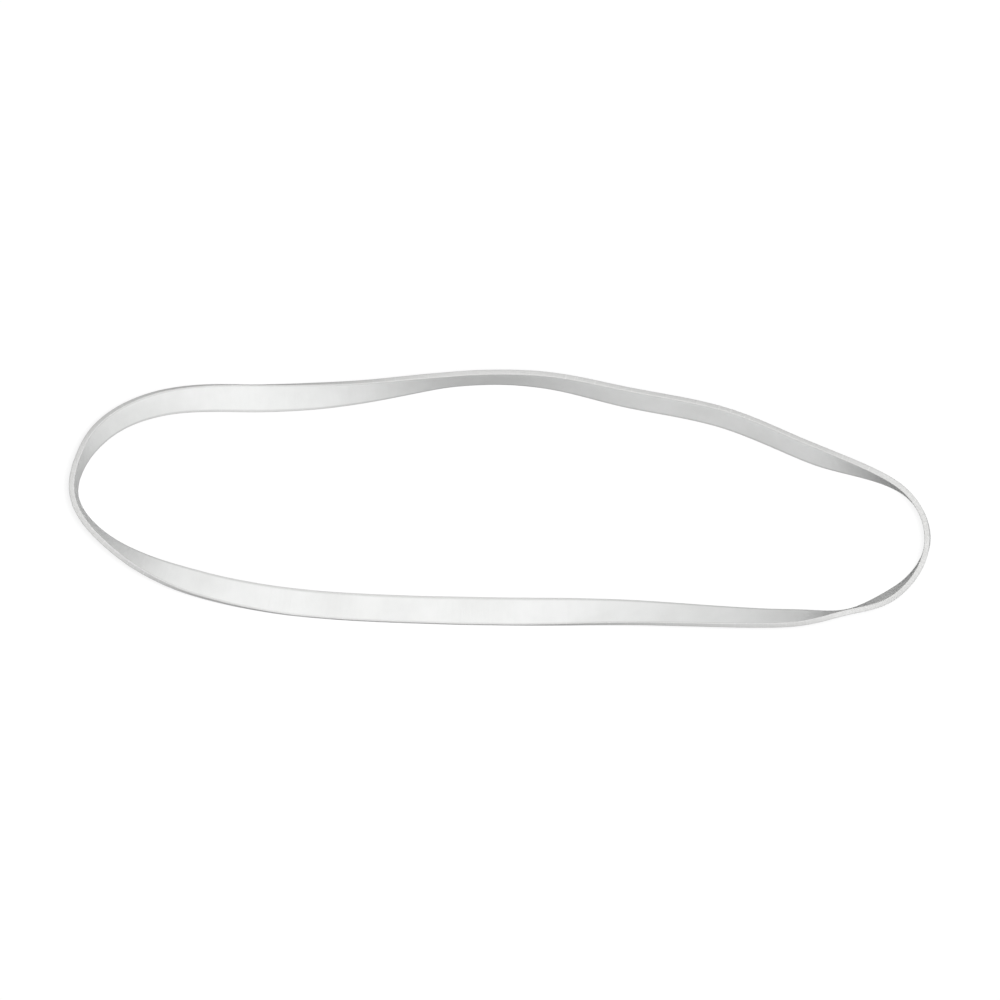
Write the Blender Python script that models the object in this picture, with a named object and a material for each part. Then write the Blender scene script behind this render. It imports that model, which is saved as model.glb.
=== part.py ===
"""Flat rubber band, lying as a loose loop.

The band is a narrow ring, cut with a knife from a thin-walled tube of vulcanised rubber. So it has
four long edges: the smooth skin of the tube inside and outside, and a knife cut on either side.
It is one piece, with no seam.

Laid down by itself it doesn't stay round. It stands on a cut edge, upright or nearly so, where it
bends sharply, at both ends of the loop, and at the crest of the far run. Between these it leans over,
in places until the wall lies flat, with its top away from the loop and its inner skin facing up. Each
lean is taken back again, so that the band holds no twist as a whole.

Units are metres, +Z is up, and the band rests on Z = 0. +X runs along the loop, and the far run, with
its crest, is on the +Y side.
"""

import math

import bpy
import numpy as np

MM = 0.001

# The band as it is cut
FLAT_LENGTH = 102.0 * MM  # pulled just straight and measured from fold to fold
CUT_WIDTH = 3.0 * MM  # from one knife cut to the other
WALL = 0.6 * MM  # thickness of the rubber
CUT_CORNER = 0.08 * MM  # round along each of the four long edges
ROUNDEST_CORNER = 0.9  # the most of half the wall that this round may take up

# The loop as it lies
LOOP_SPREAD = 26.39 * MM  # from the near run to the far run, between the middles of the wall
TURN_EASING = 5.0 * MM  # length over which the wall eases from one lean to the next

# How finely the surface is divided
RINGS = 256  # sections around the loop
CORNER_STEPS = 2  # flats around each rounded edge
CURVE_STEPS = 24  # points worked out between two stations
FIT = 0.00001 * MM  # how closely the loop's half span is fitted to the band's length

# Where the middle of the wall passes, anticlockwise from the right end of the loop: its place along
# the loop and across it, each from -1 to 1, and how far the wall's top leans outwards there, in
# degrees. 0 stands on the cut edge and 90 lies flat.
STATIONS = (
    (1.000, -0.363, -4),  # right end
    (0.961, 0.005, -8),
    (0.881, 0.179, 5),
    (0.752, 0.340, 29),
    (0.531, 0.657, 29),
    (0.285, 0.844, 28),
    (0.137, 0.960, 19),
    (0.001, 1.000, 12),  # crest of the far run
    (-0.129, 0.976, 13),
    (-0.293, 0.895, 33),
    (-0.582, 0.836, 76),
    (-0.807, 0.781, 48),
    (-0.947, 0.507, 30),
    (-0.981, 0.326, 13),
    (-1.000, 0.050, 5),  # left end
    (-0.913, -0.382, 23),
    (-0.737, -0.678, 68),
    (-0.499, -0.847, 90),  # the near run lies flat from here
    (-0.210, -0.915, 90),
    (0.060, -0.934, 90),  # to here
    (0.302, -0.948, 65),
    (0.531, -0.987, 49),
    (0.695, -0.997, 39),
    (0.809, -0.953, 6),
    (0.902, -0.837, 25),
    (0.971, -0.627, 10),
)

RUBBER_COLOUR = (0.87, 0.87, 0.85, 1.0)
RUBBER_ROUGHNESS = 0.5


def clear_scene():
    """Removes everything that is in the scene."""
    for obj in list(bpy.data.objects):
        bpy.data.objects.remove(obj)


def new_collection(name):
    """Returns a new collection, linked to the scene."""
    collection = bpy.data.collections.new(name)
    bpy.context.scene.collection.children.link(collection)
    return collection


def rubber_material():
    """Returns the material of bleached natural rubber, pale and slightly shiny."""
    material = bpy.data.materials.new("bleached_rubber")
    material.use_nodes = True
    shader = material.node_tree.nodes["Principled BSDF"]
    shader.inputs["Base Color"].default_value = RUBBER_COLOUR
    shader.inputs["Roughness"].default_value = RUBBER_ROUGHNESS
    shader.inputs["Metallic"].default_value = 0.0
    return material


def station_slopes(points, spans):
    """Returns the slope at each station that makes the closed curve bend evenly through it."""
    count = len(points)
    weights = np.zeros((count, count))
    pulls = np.zeros((count, 2))
    for here in range(count):
        after = (here + 1) % count
        weights[here, here - 1] += 1 / spans[here - 1]
        weights[here, here] += 2 / spans[here - 1] + 2 / spans[here]
        weights[here, after] += 1 / spans[here]
        rise_before = (points[here] - points[here - 1]) / spans[here - 1] ** 2
        rise_after = (points[after] - points[here]) / spans[here] ** 2
        pulls[here] = 3 * (rise_before + rise_after)
    return np.linalg.solve(weights, pulls)


def outline(half_span):
    """Returns the points of the loop's outline on the floor, CURVE_STEPS to each station."""
    stations = np.array(STATIONS)
    points = stations[:, :2] * (half_span, LOOP_SPREAD / 2)
    following = np.roll(points, -1, axis=0)
    spans = np.linalg.norm(following - points, axis=1)
    slopes = station_slopes(points, spans)
    step = (np.arange(CURVE_STEPS) / CURVE_STEPS)[:, None]
    stretches = []
    for here in range(len(points)):
        start_slope = slopes[here] * spans[here]
        end_slope = slopes[(here + 1) % len(points)] * spans[here]
        stretches.append(
            (2 * step**3 - 3 * step**2 + 1) * points[here]
            + (step**3 - 2 * step**2 + step) * start_slope
            + (3 * step**2 - 2 * step**3) * following[here]
            + (step**3 - step**2) * end_slope
        )
    return np.concatenate(stretches)


def travelled(points):
    """Returns how far along the closed line each point lies, and the length of the whole line."""
    steps = np.linalg.norm(np.roll(points, -1, axis=0) - points, axis=1)
    return np.concatenate(([0.0], np.cumsum(steps)[:-1])), steps.sum()


def evened(values, positions, length):
    """Reads closed values at RINGS places that lie evenly along the line."""
    places = np.arange(RINGS) * length / RINGS
    return np.interp(places, positions, values, period=length)


def eased(leans, length):
    """Rounds the corners off a closed run of leans, over the length that the rubber takes to turn."""
    reach = max(1, round(TURN_EASING / length * RINGS / 2))
    weights = np.hanning(2 * reach + 3)[1:-1]
    total = sum(weight * np.roll(leans, shift - reach) for shift, weight in enumerate(weights))
    return total / weights.sum()


def corner_radius():
    """Returns the round along the long edges, which has to fit the wall and the width."""
    return min(CUT_CORNER, ROUNDEST_CORNER * min(WALL, CUT_WIDTH) / 2)


def laid_loop(half_span):
    """Returns the middle of the wall at each ring, resting on the floor, and its lean in radians."""
    drawn = outline(half_span)
    positions, length = travelled(drawn)
    across_floor = [evened(drawn[:, axis], positions, length) for axis in (0, 1)]
    station_leans = np.radians([lean for _, _, lean in STATIONS])
    raw_leans = evened(station_leans, positions[::CURVE_STEPS], length)
    leans = eased(raw_leans, length)
    radius = corner_radius()
    half_width = CUT_WIDTH / 2 - radius
    half_wall = WALL / 2 - radius
    heights = half_width * np.abs(np.cos(leans)) + half_wall * np.abs(np.sin(leans)) + radius
    return np.column_stack((*across_floor, heights)), leans


def fitted_loop():
    """Returns the loop whose length is that of the band, twice its flat length."""
    shortest = 0.0
    longest = FLAT_LENGTH
    while longest - shortest > FIT:
        half_span = (shortest + longest) / 2
        points, _ = laid_loop(half_span)
        _, length = travelled(points)
        if length < 2 * FLAT_LENGTH:
            shortest = half_span
        else:
            longest = half_span
    return laid_loop(longest)


def cut_section(collection):
    """Adds the band's section, a rectangle with rounded corners, wall along X and width along Y."""
    radius = corner_radius()
    corners = []
    for quarter, (side_x, side_y) in enumerate(((1, 1), (-1, 1), (-1, -1), (1, -1))):
        centre_x = side_x * (WALL / 2 - radius)
        centre_y = side_y * (CUT_WIDTH / 2 - radius)
        for step in range(CORNER_STEPS + 1):
            angle = (quarter + step / CORNER_STEPS) * math.pi / 2
            corners.append((centre_x + radius * math.cos(angle), centre_y + radius * math.sin(angle)))
    corners.reverse()
    curve = bpy.data.curves.new("cut_section", "CURVE")
    curve.dimensions = "2D"
    spline = curve.splines.new("POLY")
    spline.points.add(len(corners) - 1)
    spline.use_cyclic_u = True
    for point, (x, y) in zip(spline.points, corners):
        point.co = (x, y, 0.0, 1.0)
    section = bpy.data.objects.new("cut_section", curve)
    section.hide_render = True
    section.display_type = "WIRE"
    collection.objects.link(section)
    return section


def rubber_band(collection, section):
    """Adds the band: its section swept around the loop, turned at each ring by the wall's lean."""
    points, leans = fitted_loop()
    curve = bpy.data.curves.new("rubber_band", "CURVE")
    curve.dimensions = "3D"
    curve.twist_mode = "Z_UP"
    curve.bevel_mode = "OBJECT"
    curve.bevel_object = section
    spline = curve.splines.new("POLY")
    spline.points.add(len(points) - 1)
    spline.use_cyclic_u = True
    for point, place, lean in zip(spline.points, points, leans):
        point.co = (*place, 1.0)
        point.tilt = lean
    curve.materials.append(rubber_material())
    band = bpy.data.objects.new("rubber_band", curve)
    collection.objects.link(band)
    return band


def centre_footprint(band):
    """Moves the band along the floor until the middle of its footprint is at the origin."""
    swept = band.evaluated_get(bpy.context.evaluated_depsgraph_get())
    surface = np.array([vertex.co for vertex in swept.to_mesh().vertices])
    swept.to_mesh_clear()
    middle = (surface.min(axis=0) + surface.max(axis=0)) / 2
    band.location = (-middle[0], -middle[1], 0.0)


def main():
    """Builds the band."""
    clear_scene()
    section = cut_section(new_collection("guides"))
    band = rubber_band(new_collection("rubber_band"), section)
    centre_footprint(band)


main()
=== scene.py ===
"""The looks of a flat rubber band that lies as a loose loop on a white sheet.

The band was cut as a ring from a thin tube of bleached rubber. Its two skins keep the dull shine of
the tube. Its two cut faces show the knife's fine ridges. All sizes are in metres unless a name says
otherwise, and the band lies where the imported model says.
"""

import logging
import math
from dataclasses import dataclass
from enum import Enum

import bpy
import numpy as np
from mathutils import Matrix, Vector


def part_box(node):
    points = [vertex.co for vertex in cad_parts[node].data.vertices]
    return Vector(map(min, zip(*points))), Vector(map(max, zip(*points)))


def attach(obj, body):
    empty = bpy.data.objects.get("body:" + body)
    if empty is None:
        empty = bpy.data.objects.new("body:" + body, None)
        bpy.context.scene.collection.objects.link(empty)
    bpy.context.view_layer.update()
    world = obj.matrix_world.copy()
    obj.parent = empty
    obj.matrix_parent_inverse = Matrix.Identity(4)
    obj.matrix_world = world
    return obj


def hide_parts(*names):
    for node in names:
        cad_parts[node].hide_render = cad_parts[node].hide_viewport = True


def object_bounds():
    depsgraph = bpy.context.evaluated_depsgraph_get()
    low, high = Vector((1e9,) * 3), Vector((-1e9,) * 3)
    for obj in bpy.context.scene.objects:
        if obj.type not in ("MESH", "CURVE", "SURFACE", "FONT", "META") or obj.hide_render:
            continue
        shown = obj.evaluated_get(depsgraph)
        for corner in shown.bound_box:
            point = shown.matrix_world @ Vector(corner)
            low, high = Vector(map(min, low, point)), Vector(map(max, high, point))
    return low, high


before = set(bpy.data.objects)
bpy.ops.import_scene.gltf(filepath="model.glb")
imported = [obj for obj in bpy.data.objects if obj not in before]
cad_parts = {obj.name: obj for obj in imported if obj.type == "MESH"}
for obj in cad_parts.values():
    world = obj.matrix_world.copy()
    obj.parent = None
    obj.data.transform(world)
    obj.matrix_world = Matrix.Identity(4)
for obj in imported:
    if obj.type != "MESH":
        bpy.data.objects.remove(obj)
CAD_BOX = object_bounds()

MM = 0.001
NODE = "rubber_band"
BODY = "root"
WHITE = "#FFFFFF"
LOG = logging.getLogger("rubber_band")

# A Mix node has sockets of the same name for each kind of value, so they are given by number.
NUMBER_A, NUMBER_B, NUMBER_OUT = 2, 3, 0
COLOUR_A, COLOUR_B, COLOUR_OUT = 6, 7, 2

logging.basicConfig(level=logging.INFO, format="%(message)s")


class Surface(Enum):
    """The four surfaces of the band, in the order in which its section passes them."""

    OUTER_SKIN = 0
    TOP_CUT = 1
    INNER_SKIN = 2
    BOTTOM_CUT = 3

    @property
    def is_cut(self) -> bool:
        """Whether the knife made this surface."""
        return self in (Surface.TOP_CUT, Surface.BOTTOM_CUT)


def linear(hex_colour: str) -> tuple[float, float, float, float]:
    """Turns an sRGB colour into the linear one that the shaders take.

    Args:
        hex_colour: The colour as six hex digits after a hash sign.

    Returns:
        Red, green and blue, linear, and an alpha of 1.
    """
    parts = [int(hex_colour[at:at + 2], 16) / 255 for at in (1, 3, 5)]
    red, green, blue = (p / 12.92 if p <= 0.04045 else ((p + 0.055) / 1.055) ** 2.4 for p in parts)
    return red, green, blue, 1.0


def add_node(
    tree: bpy.types.NodeTree, kind: str, inputs: dict | None = None, **settings: object
) -> bpy.types.Node:
    """Adds a node with its settings and what goes into it.

    Args:
        tree: The node tree that gets the node.
        kind: The node's type name.
        inputs: A value or another node's output socket, for each input by its name or number.
        settings: Values for the node's own properties.

    Returns:
        The new node.
    """
    node = tree.nodes.new(kind)
    for name, value in settings.items():
        setattr(node, name, value)
    for name, value in (inputs or {}).items():
        if isinstance(value, bpy.types.NodeSocket):
            tree.links.new(value, node.inputs[name])
        else:
            node.inputs[name].default_value = value
    return node


def seen(tree: bpy.types.NodeTree) -> bpy.types.NodeSocket:
    """Finds out which rays show a background, so that they can see it white.

    Args:
        tree: The node tree of a sheet or of the room.

    Returns:
        A socket that is 1 for what the camera sees, also in gloss and through glass, and 0 for light.
    """
    path = add_node(tree, "ShaderNodeLightPath")
    straight = add_node(
        tree, "ShaderNodeMath",
        {0: path.outputs["Is Camera Ray"], 1: path.outputs["Is Glossy Ray"]},
        operation="MAXIMUM",
    )
    return add_node(
        tree, "ShaderNodeMath",
        {0: straight.outputs["Value"], 1: path.outputs["Is Transmission Ray"]},
        operation="MAXIMUM",
    ).outputs["Value"]


@dataclass(frozen=True)
class Lie:
    """How the band lies: the route of the wall's middle over the sheet, and the lean of the wall.

    Each station gives the place along the loop and across it, from -1 to 1, and how far the wall's top
    leans outwards, in degrees: 0 stands on a cut face and 90 lies flat. The stations go round from the
    right end, past the crest of the far run, the left end and the near run.
    """

    flat_length: float = 102.0 * MM  # pulled just straight, from fold to fold
    spread: float = 26.39 * MM  # from the near run to the far run
    turn_easing: float = 5.0 * MM  # length over which one lean eases into the next
    steps_to_station: int = 60  # points worked out between two stations
    fit: float = 0.00001 * MM  # how closely the loop's half span is fitted to the band's length
    stations: tuple[tuple[float, float, float], ...] = (
        (1.000, -0.363, -4),  # right end
        (0.961, 0.005, -8),
        (0.881, 0.179, 5),
        (0.752, 0.340, 29),
        (0.531, 0.657, 29),
        (0.285, 0.844, 28),
        (0.137, 0.960, 19),
        (0.001, 1.000, 12),  # crest of the far run
        (-0.129, 0.976, 13),
        (-0.293, 0.895, 33),
        (-0.582, 0.836, 76),
        (-0.807, 0.781, 48),
        (-0.947, 0.507, 30),
        (-0.981, 0.326, 13),
        (-1.000, 0.050, 5),  # left end
        (-0.913, -0.382, 23),
        (-0.737, -0.678, 68),
        (-0.499, -0.847, 90),  # the near run lies flat from here
        (-0.210, -0.915, 90),
        (0.060, -0.934, 90),  # to here
        (0.302, -0.948, 65),
        (0.531, -0.987, 49),
        (0.695, -0.997, 39),
        (0.809, -0.953, 6),
        (0.902, -0.837, 25),
        (0.971, -0.627, 10),
    )

    def slopes(self, points: np.ndarray, spans: np.ndarray) -> np.ndarray:
        """Works out the slope at each station that lets the closed route bend evenly.

        Args:
            points: The stations on the sheet.
            spans: The straight distance from each station to the next.

        Returns:
            One slope for each station.
        """
        count = len(points)
        weights = np.zeros((count, count))
        pulls = np.zeros((count, 2))
        for here in range(count):
            after = (here + 1) % count
            weights[here, here - 1] += 1 / spans[here - 1]
            weights[here, here] += 2 / spans[here - 1] + 2 / spans[here]
            weights[here, after] += 1 / spans[here]
            rise_before = (points[here] - points[here - 1]) / spans[here - 1] ** 2
            rise_after = (points[after] - points[here]) / spans[here] ** 2
            pulls[here] = 3 * (rise_before + rise_after)
        return np.linalg.solve(weights, pulls)

    def drawn(self, half_span: float) -> np.ndarray:
        """Draws the route on the sheet.

        Args:
            half_span: Half the distance from the loop's left end to its right end.

        Returns:
            The route's points, steps_to_station for each station.
        """
        points = np.array(self.stations)[:, :2] * (half_span, self.spread / 2)
        following = np.roll(points, -1, axis=0)
        spans = np.linalg.norm(following - points, axis=1)
        slopes = self.slopes(points, spans)
        start_slopes = slopes * spans[:, None]
        end_slopes = np.roll(slopes, -1, axis=0) * spans[:, None]
        step = (np.arange(self.steps_to_station) / self.steps_to_station)[None, :, None]
        route = (2 * step**3 - 3 * step**2 + 1) * points[:, None]
        route += (step**3 - 2 * step**2 + step) * start_slopes[:, None]
        route += (3 * step**2 - 2 * step**3) * following[:, None]
        route += (step**3 - step**2) * end_slopes[:, None]
        return route.reshape(-1, 2)

    @staticmethod
    def travelled(points: np.ndarray) -> tuple[np.ndarray, float]:
        """Measures how far along a closed line each point lies, and the length of the whole line."""
        steps = np.linalg.norm(np.roll(points, -1, axis=0) - points, axis=1)
        return np.concatenate(([0.0], np.cumsum(steps)[:-1])), steps.sum()

    def laid(
        self, half_span: float, rings: int, half_width: float, half_wall: float, corner: float
    ) -> tuple[np.ndarray, np.ndarray]:
        """Lays the wall's middle along the route, so that each ring touches the sheet.

        Args:
            half_span: Half the distance from the loop's left end to its right end.
            rings: How many places around the loop are worked out.
            half_width: Half the band's width.
            half_wall: Half the band's thickness.
            corner: The round along the long edges.

        Returns:
            The wall's middle at each ring, and its lean in radians.
        """
        drawn = self.drawn(half_span)
        positions, length = self.travelled(drawn)
        places = np.arange(rings) * length / rings
        along, across = (np.interp(places, positions, drawn[:, axis], period=length) for axis in (0, 1))
        station_leans = np.radians([lean for _, _, lean in self.stations])
        leans = np.interp(places, positions[::self.steps_to_station], station_leans, period=length)
        # Each ring takes the mean lean of its neighbours, the near ones most.
        reach = max(1, round(self.turn_easing / length * rings / 2))
        weights = np.hanning(2 * reach + 3)[1:-1]
        leans = sum(w * np.roll(leans, shift - reach) for shift, w in enumerate(weights)) / weights.sum()
        # The lowest corner of each ring touches the sheet.
        heights = (half_width - corner) * np.abs(np.cos(leans))
        heights += (half_wall - corner) * np.abs(np.sin(leans)) + corner
        return np.column_stack((along, across, heights)), leans

    def fitted(
        self, rings: int, half_width: float, half_wall: float, corner: float
    ) -> tuple[np.ndarray, np.ndarray]:
        """Lays the loop at the span at which it is as long as the band.

        Args:
            rings: How many places around the loop are worked out.
            half_width: Half the band's width.
            half_wall: Half the band's thickness.
            corner: The round along the long edges.

        Returns:
            The wall's middle at each ring, and its lean in radians.
        """
        shortest, longest = 0.0, self.flat_length
        while longest - shortest > self.fit:
            half_span = (shortest + longest) / 2
            middle, _ = self.laid(half_span, rings, half_width, half_wall, corner)
            if self.travelled(middle)[1] < 2 * self.flat_length:
                shortest = half_span
            else:
                longest = half_span
        return self.laid(longest, rings, half_width, half_wall, corner)


@dataclass(frozen=True)
class KnifeCut:
    """How unevenly the knife went through the tube, which leaves the band a little narrower in places."""

    depth: float = 0.05 * MM
    waves: tuple[int, ...] = (3, 5, 8, 13, 21, 34)  # how often each wave repeats around the tube
    seed: int = 7

    def lost(self, turn: np.ndarray) -> np.ndarray:
        """Says how much of the width is lost at one cut.

        Args:
            turn: The angle of each ring around the tube.

        Returns:
            The width lost at each ring, from 0 to depth.
        """
        draw = np.random.default_rng(self.seed)
        waves = sum(np.sin(turn * k + draw.uniform(0, 2 * math.pi)) / math.sqrt(k) for k in self.waves)
        return self.depth * (waves - waves.min()) / np.ptp(waves)


@dataclass(frozen=True)
class BleachedRubber:
    """Bleached natural rubber, vulcanised in a steam oven as a talc-dusted tube, then sliced.

    It is pale and lets light in a few tenths of a millimetre, so that shadows inside the loop stay
    soft. The tube's skin has a dull shine with faint ripples across the band, as it left the die. The
    knife leaves finer ridges across the wall, and a greyer, smoother face.

    The real ripples and ridges are about a tenth of a millimetre apart, and the talc is finer still. They
    are drawn two to ten times as coarse, so that they show.
    """

    skin: str = "#F7F8F7"
    foot_shade: str = "#C9C9C8"  # painted contact shade along the edge that the band stands on
    cut: str = "#DEDEDD"
    cloud: str = "#DEDEDD"
    talc: str = "#F8F8F7"
    foot_shade_mm: float = 0.4  # how far the painted shade at the foot reaches up the skin
    cloud_mm: float = 5.0
    cloud_from: float = 0.35  # the level of the noise at which a cloud begins
    cloud_to: float = 0.7  # and at which it is fullest
    cloud_most: float = 0.35  # share of the cloud's colour where it is fullest
    talc_mm: float = 0.16
    talc_from: float = 0.6
    talc_to: float = 0.78
    talc_most: float = 0.5
    skin_roughness: float = 0.65
    cut_roughness: float = 0.45
    patch_mm: float = 1.5
    patch_spread: float = 0.16  # from the smoothest patches to the roughest
    ripple_mm: float = 0.45
    ridge_mm: float = 0.22
    drawn_out: float = 0.12  # how slowly ripples and ridges change across the band
    relief_mm: float = 0.05  # height of the ripples and ridges at most
    relief_share: float = 0.7
    rubber_ior: float = 1.52
    rubber_shine: float = 0.2
    light_depth_mm: float = 0.4  # how far light goes into the rubber
    light_share: float = 0.5  # how much of the colour comes from light that went in

    def material(self) -> bpy.types.Material:
        """Makes the rubber's material.

        Returns:
            The material, for a mesh that holds the attributes on_tube, over_foot and cut_face.
        """
        material = bpy.data.materials.new("bleached_rubber")
        material.use_nodes = True
        tree = material.node_tree
        shader = tree.nodes["Principled BSDF"]
        on_tube = add_node(tree, "ShaderNodeAttribute", attribute_name="on_tube").outputs["Vector"]
        over_foot = add_node(tree, "ShaderNodeAttribute", attribute_name="over_foot").outputs["Fac"]
        cut_face = add_node(tree, "ShaderNodeAttribute", attribute_name="cut_face").outputs["Fac"]
        tree.links.new(self.colour(tree, on_tube, over_foot, cut_face), shader.inputs["Base Color"])
        tree.links.new(self.roughness(tree, on_tube, cut_face), shader.inputs["Roughness"])
        tree.links.new(self.relief(tree, on_tube, cut_face), shader.inputs["Normal"])
        shader.inputs["Metallic"].default_value = 0.0
        shader.inputs["IOR"].default_value = self.rubber_ior
        shader.inputs["Specular IOR Level"].default_value = self.rubber_shine
        shader.inputs["Subsurface Weight"].default_value = self.light_share
        shader.inputs["Subsurface Radius"].default_value = (1.0, 1.0, 1.0)
        shader.inputs["Subsurface Scale"].default_value = self.light_depth_mm * MM
        return material

    def colour(
        self, tree: bpy.types.NodeTree, on_tube: bpy.types.NodeSocket,
        over_foot: bpy.types.NodeSocket, cut_face: bpy.types.NodeSocket,
    ) -> bpy.types.NodeSocket:
        """Mixes the colour: pale skin with painted contact shade along its foot, greyer cuts, slow clouds
        and a little talc.

        Args:
            tree: The material's node tree.
            on_tube: The place on the tube, in metres.
            over_foot: The distance from the edge that the band stands on, in millimetres.
            cut_face: 1 on the cut faces and 0 on the skins.

        Returns:
            The colour's socket.
        """
        # Painted contact shade: the skin turns grey towards the edge that the band stands on.
        foot_shade_share = add_node(
            tree, "ShaderNodeMapRange",
            {"Value": over_foot, "From Min": 0.0, "From Max": self.foot_shade_mm, "To Min": 1.0, "To Max": 0.0},
            interpolation_type="SMOOTHSTEP",
        )
        skin = add_node(
            tree, "ShaderNodeMix",
            {"Factor": foot_shade_share.outputs["Result"], COLOUR_A: linear(self.skin),
             COLOUR_B: linear(self.foot_shade)},
            data_type="RGBA",
        )
        faces = add_node(
            tree, "ShaderNodeMix",
            {"Factor": cut_face, COLOUR_A: skin.outputs[COLOUR_OUT], COLOUR_B: linear(self.cut)},
            data_type="RGBA",
        )
        cloud = add_node(
            tree, "ShaderNodeTexNoise",
            {"Vector": on_tube, "Scale": 1 / (self.cloud_mm * MM), "Detail": 3.0, "Roughness": 0.55},
        )
        cloud_share = add_node(
            tree, "ShaderNodeMapRange",
            {"Value": cloud.outputs["Fac"], "From Min": self.cloud_from, "From Max": self.cloud_to,
             "To Max": self.cloud_most},
        )
        clouded = add_node(
            tree, "ShaderNodeMix",
            {"Factor": cloud_share.outputs["Result"], COLOUR_A: faces.outputs[COLOUR_OUT],
             COLOUR_B: linear(self.cloud)},
            data_type="RGBA",
        )
        talc = add_node(
            tree, "ShaderNodeTexNoise",
            {"Vector": on_tube, "Scale": 1 / (self.talc_mm * MM), "Detail": 2.0, "Roughness": 0.6},
        )
        talc_share = add_node(
            tree, "ShaderNodeMapRange",
            {"Value": talc.outputs["Fac"], "From Min": self.talc_from, "From Max": self.talc_to,
             "To Max": self.talc_most},
        )
        dusted = add_node(
            tree, "ShaderNodeMix",
            {"Factor": talc_share.outputs["Result"], COLOUR_A: clouded.outputs[COLOUR_OUT],
             COLOUR_B: linear(self.talc)},
            data_type="RGBA",
        )
        return dusted.outputs[COLOUR_OUT]

    def roughness(
        self, tree: bpy.types.NodeTree, on_tube: bpy.types.NodeSocket, cut_face: bpy.types.NodeSocket
    ) -> bpy.types.NodeSocket:
        """Makes the dull shine uneven, and the cut faces smoother.

        Args:
            tree: The material's node tree.
            on_tube: The place on the tube, in metres.
            cut_face: 1 on the cut faces and 0 on the skins.

        Returns:
            The roughness socket.
        """
        patches = add_node(
            tree, "ShaderNodeTexNoise",
            {"Vector": on_tube, "Scale": 1 / (self.patch_mm * MM), "Detail": 4.0, "Roughness": 0.6},
        )
        base = add_node(
            tree, "ShaderNodeMapRange",
            {"Value": cut_face, "To Min": self.skin_roughness, "To Max": self.cut_roughness},
        )
        uneven = add_node(
            tree, "ShaderNodeMath",
            {0: patches.outputs["Fac"], 1: self.patch_spread, 2: base.outputs["Result"]},
            operation="MULTIPLY_ADD",
        )
        return add_node(
            tree, "ShaderNodeMath",
            {0: uneven.outputs["Value"], 1: self.patch_spread / 2},
            operation="SUBTRACT",
        ).outputs["Value"]

    def relief(
        self, tree: bpy.types.NodeTree, on_tube: bpy.types.NodeSocket, cut_face: bpy.types.NodeSocket
    ) -> bpy.types.NodeSocket:
        """Gives the skins the die's ripples and the cut faces the knife's ridges.

        Args:
            tree: The material's node tree.
            on_tube: The place on the tube, in metres.
            cut_face: 1 on the cut faces and 0 on the skins.

        Returns:
            The normal's socket.
        """
        across_band = add_node(
            tree, "ShaderNodeVectorMath",
            {0: on_tube, 1: (1.0, 1.0, self.drawn_out)},
            operation="MULTIPLY",
        ).outputs["Vector"]
        ripples = add_node(
            tree, "ShaderNodeTexNoise",
            {"Vector": across_band, "Scale": 1 / (self.ripple_mm * MM), "Detail": 3.0},
        )
        ridges = add_node(
            tree, "ShaderNodeTexNoise",
            {"Vector": across_band, "Scale": 1 / (self.ridge_mm * MM), "Detail": 2.0},
        )
        height = add_node(
            tree, "ShaderNodeMix",
            {"Factor": cut_face, NUMBER_A: ripples.outputs["Fac"], NUMBER_B: ridges.outputs["Fac"]},
            data_type="FLOAT",
        )
        return add_node(
            tree, "ShaderNodeBump",
            {"Height": height.outputs[NUMBER_OUT], "Strength": self.relief_share,
             "Distance": self.relief_mm * MM},
        ).outputs["Normal"]


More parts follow.
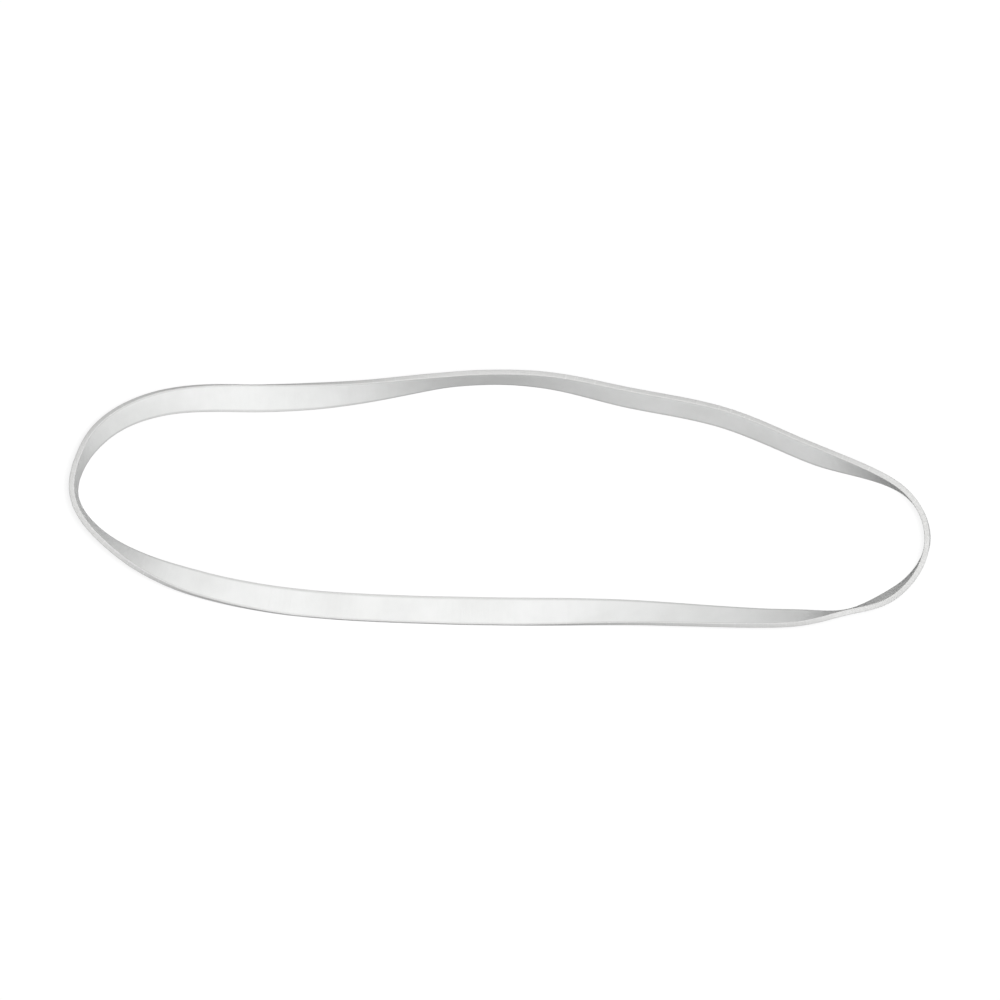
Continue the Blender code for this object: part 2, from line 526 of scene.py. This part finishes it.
@dataclass
class RubberBand:
    """The band: its section swept around the loop as it lies, and its finish."""

    width: float = 3.0 * MM
    wall: float = 0.59 * MM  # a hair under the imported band's, so as to stay within its box
    corner: float = 0.08 * MM  # round along each of the four long edges
    rings: int = 1024  # sections around the loop
    corner_steps: int = 5  # flats around each rounded edge
    skin_steps: int = 16  # across each skin
    cut_steps: int = 6  # and across each cut face
    lie: Lie = Lie()
    top_knife: KnifeCut = KnifeCut(seed=7)
    bottom_knife: KnifeCut = KnifeCut(seed=19)
    finish: BleachedRubber = BleachedRubber()

    def section(self) -> tuple[np.ndarray, np.ndarray]:
        """Draws the section, going round from the foot of the outer skin.

        Returns:
            The section's points, wall first and width second, and which of them the knife made.
        """
        radius = self.corner
        half_wall, half_width = self.wall / 2 - radius, self.width / 2 - radius
        centres = ((half_wall, half_width), (-half_wall, half_width),
                   (-half_wall, -half_width), (half_wall, -half_width))
        points: list[tuple[float, float]] = []
        cut: list[float] = []
        for quarter, (centre, surface) in enumerate(zip(centres, Surface)):
            before = centres[quarter - 1]
            start = quarter * math.pi / 2
            steps = self.cut_steps if surface.is_cut else self.skin_steps
            for step in range(1, steps):
                share = step / steps
                x = before[0] + (centre[0] - before[0]) * share + radius * math.cos(start)
                y = before[1] + (centre[1] - before[1]) * share + radius * math.sin(start)
                points.append((x, y))
                cut.append(float(surface.is_cut))
            for step in range(self.corner_steps + 1):
                share = step / self.corner_steps
                angle = start + share * math.pi / 2
                x = centre[0] + radius * math.cos(angle)
                y = centre[1] + radius * math.sin(angle)
                points.append((x, y))
                cut.append(1.0)
        return np.array(points), np.array(cut)

    def placed(self) -> tuple[np.ndarray, np.ndarray]:
        """Sweeps the section around the loop, narrowed where the knife wandered.

        Returns:
            The surface's points by ring, and the angle of each ring around the tube.
        """
        section, _ = self.section()
        middle, leans = self.lie.fitted(self.rings, self.width / 2, self.wall / 2, self.corner)
        ahead = np.roll(middle, -1, axis=0) - np.roll(middle, 1, axis=0)
        ahead /= np.linalg.norm(ahead, axis=1)[:, None]
        outward = np.cross(ahead, (0.0, 0.0, 1.0))
        outward /= np.linalg.norm(outward, axis=1)[:, None]
        up = np.cross(outward, ahead)
        cos, sin = np.cos(leans)[:, None], np.sin(leans)[:, None]
        width_way = cos * up + sin * outward
        wall_way = cos * outward - sin * up
        turn = np.arange(self.rings) * 2 * math.pi / self.rings
        # Each cut moves in by what the knife took there, and the skins less and less to their middle.
        share = section[:, 1] / (self.width / 2)
        lost = np.outer(self.top_knife.lost(turn), np.clip(share, 0, 1))
        lost -= np.outer(self.bottom_knife.lost(turn), np.clip(-share, 0, 1))
        wide = section[None, :, 1] - lost
        surface = middle[:, None] + width_way[:, None] * wide[..., None]
        surface += wall_way[:, None] * section[None, :, 0, None]
        return surface, turn

    def build(self) -> bpy.types.Object:
        """Makes the band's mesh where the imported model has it.

        Returns:
            The band's object.
        """
        surface, turn = self.placed()
        rings, around = surface.shape[:2]
        low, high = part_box(NODE)
        shift = (np.array(low) + np.array(high)) / 2 - (surface.min((0, 1)) + surface.max((0, 1))) / 2
        points = (surface + (shift[0], shift[1], 0.0)).reshape(-1, 3)
        # Each face has two corners on one ring and two on the next.
        here = np.arange(rings)[:, None] * around + np.arange(around)[None]
        after = np.roll(here, -1, axis=0)
        faces = np.stack((here, after, np.roll(after, -1, axis=1), np.roll(here, -1, axis=1)), axis=-1)
        mesh = bpy.data.meshes.new("band")
        mesh.from_pydata(points.tolist(), [], faces.reshape(-1, 4).tolist())
        mesh.polygons.foreach_set("use_smooth", np.ones(len(mesh.polygons), dtype=bool))
        self.mark(mesh, turn)
        mesh.update()
        band = bpy.data.objects.new("band", mesh)
        bpy.context.scene.collection.objects.link(band)
        return band

    def mark(self, mesh: bpy.types.Mesh, turn: np.ndarray) -> None:
        """Writes where each point was on the tube, which carries the patterns around the loop.

        Args:
            mesh: The band's mesh, ring by ring.
            turn: The angle of each ring around the tube.
        """
        section, cut = self.section()
        tube_radius = self.lie.flat_length / math.pi
        rings, around = len(turn), len(section)
        on_tube = np.empty((rings, around, 3))
        on_tube[..., 0] = (tube_radius * np.cos(turn))[:, None]
        on_tube[..., 1] = (tube_radius * np.sin(turn))[:, None]
        on_tube[..., 2] = section[None, :, 1]
        places = mesh.attributes.new("on_tube", "FLOAT_VECTOR", "POINT")
        places.data.foreach_set("vector", on_tube.ravel())
        over_foot = (self.width / 2 + section[:, 1]) / MM
        for name, values in (("over_foot", over_foot), ("cut_face", cut)):
            marks = mesh.attributes.new(name, "FLOAT", "POINT")
            marks.data.foreach_set("value", np.tile(values, rings))

    def dress(self, band: bpy.types.Object) -> None:
        """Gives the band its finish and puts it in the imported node's place.

        Args:
            band: The band's object.
        """
        band.data.materials.append(self.finish.material())
        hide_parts(NODE)
        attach(band, BODY)


@dataclass(frozen=True)
class WhiteSheet:
    """The white sheet that the band lies on. It isn't part of the object."""

    colour: str = "#767676"  # how much light it gives back to the band
    roughness: float = 0.9
    side: float = 12.0  # far wider than the picture, for low views
    shown_glow: float = 0.83  # what makes it look white under the lamp
    lit_reach: float = 0.1  # from the sheet's middle, as far as the lamp lights it fully
    dim_reach: float = 1.2  # and where the lamp's light gives out

    def build(self) -> bpy.types.Object:
        """Lays the sheet just under the band.

        Returns:
            The sheet's object.
        """
        half = self.side / 2
        mesh = bpy.data.meshes.new("sheet")
        corners = [(-half, -half, 0), (half, -half, 0), (half, half, 0), (-half, half, 0)]
        mesh.from_pydata(corners, [], [(0, 1, 2, 3)])
        sheet = bpy.data.objects.new("sheet", mesh)
        bpy.context.scene.collection.objects.link(sheet)
        mesh.materials.append(self.material())
        return sheet

    def material(self) -> bpy.types.Material:
        """Makes matt white paper, which the camera sees a little brighter than it lights the band.

        The glow makes up for the lamp's light where that gives out, so that the paper looks equally
        white as far as it goes.

        Returns:
            The sheet's material.
        """
        material = bpy.data.materials.new("white_sheet")
        material.use_nodes = True
        tree = material.node_tree
        shader = tree.nodes["Principled BSDF"]
        shader.inputs["Base Color"].default_value = linear(self.colour)
        shader.inputs["Roughness"].default_value = self.roughness
        shader.inputs["Emission Color"].default_value = linear(WHITE)
        place = add_node(tree, "ShaderNodeTexCoord").outputs["Object"]
        reach = add_node(tree, "ShaderNodeVectorMath", {0: place}, operation="LENGTH").outputs["Value"]
        shown = add_node(
            tree, "ShaderNodeMapRange",
            {"Value": reach, "From Min": self.lit_reach, "From Max": self.dim_reach,
             "To Min": self.shown_glow, "To Max": 1.0},
            interpolation_type="SMOOTHSTEP",
        ).outputs["Result"]
        glow = add_node(tree, "ShaderNodeMath", {0: seen(tree), 1: shown}, operation="MULTIPLY")
        tree.links.new(glow.outputs["Value"], shader.inputs["Emission Strength"])
        return material


@dataclass(frozen=True)
class Studio:
    """A soft lamp nearly overhead, and a far camera that looks nearly straight down."""

    elevation_deg: float = 80.0
    distance: float = 1.3
    shown_width: float = 108.0 * MM  # what the picture takes in at the band
    sensor_mm: float = 36.0
    nearest: float = 0.01
    farthest: float = 20.0
    lamp_elevation_deg: float = 80.0
    lamp_turn_deg: float = 40.0
    lamp_distance: float = 1.0
    lamp_across: float = 0.35
    lamp_share: float = 0.92  # of the light in which a white face shows just white
    sky_share: float = 0.1  # and what the rest of the room gives, in the same measure

    @staticmethod
    def place(
        name: str, data: bpy.types.ID, distance: float, elevation_deg: float, turn_deg: float
    ) -> bpy.types.Object:
        """Puts a lamp or a camera at a distance from the band's middle, and turns it to the band.

        Args:
            name: The object's name.
            data: The lamp or the camera.
            distance: How far from the band it is.
            elevation_deg: How high it stands over the sheet, seen from the band.
            turn_deg: How far it is moved round from the near side, towards the loop's right end.

        Returns:
            The new object.
        """
        low, high = CAD_BOX
        rise, turn = math.radians(elevation_deg), math.radians(turn_deg)
        away = Vector((math.cos(rise) * math.sin(turn), -math.cos(rise) * math.cos(turn), math.sin(rise)))
        placed = bpy.data.objects.new(name, data)
        placed.location = (Vector(low) + Vector(high)) / 2 + distance * away
        placed.rotation_euler = away.to_track_quat("Z", "Y").to_euler()
        bpy.context.scene.collection.objects.link(placed)
        return placed

    def light(self) -> None:
        """Hangs the soft lamp to the right of the lens, and lights the rest of the room evenly."""
        lamp = bpy.data.lights.new("soft_lamp", "AREA")
        lamp.shape = "DISK"
        lamp.size = self.lamp_across
        # At a lamp_share of 1 a white face that is turned to the lamp shows just white.
        lamp.energy = math.pi**2 * self.lamp_distance**2 * self.lamp_share
        hung = self.place(
            "soft_lamp", lamp, self.lamp_distance, self.lamp_elevation_deg, self.lamp_turn_deg
        )
        hung.visible_camera = False
        world = bpy.data.worlds.new("room")
        world.use_nodes = True
        tree = world.node_tree
        background = tree.nodes["Background"]
        shade = add_node(
            tree, "ShaderNodeMapRange", {"Value": seen(tree), "To Min": self.sky_share, "To Max": 1.0}
        )
        background.inputs["Color"].default_value = linear(WHITE)
        tree.links.new(shade.outputs["Result"], background.inputs["Strength"])
        bpy.context.scene.world = world

    def watch(self) -> None:
        """Sets the camera on the middle of the band."""
        camera = bpy.data.cameras.new("camera")
        camera.sensor_width = self.sensor_mm
        camera.lens = self.sensor_mm * self.distance / self.shown_width
        camera.clip_start = self.nearest
        camera.clip_end = self.farthest
        bpy.context.scene.camera = self.place("camera", camera, self.distance, self.elevation_deg, 0.0)


def main() -> None:
    """Builds the band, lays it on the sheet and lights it."""
    bpy.context.scene.view_settings.view_transform = "Standard"
    studio = Studio()
    studio.watch()
    studio.light()
    maker = RubberBand()
    band = maker.build()
    maker.dress(band)
    LOG.info("band: %d points, %d faces", len(band.data.vertices), len(band.data.polygons))
    WhiteSheet().build()
    LOG.info("sheet laid")


if __name__ == "__main__":
    main()
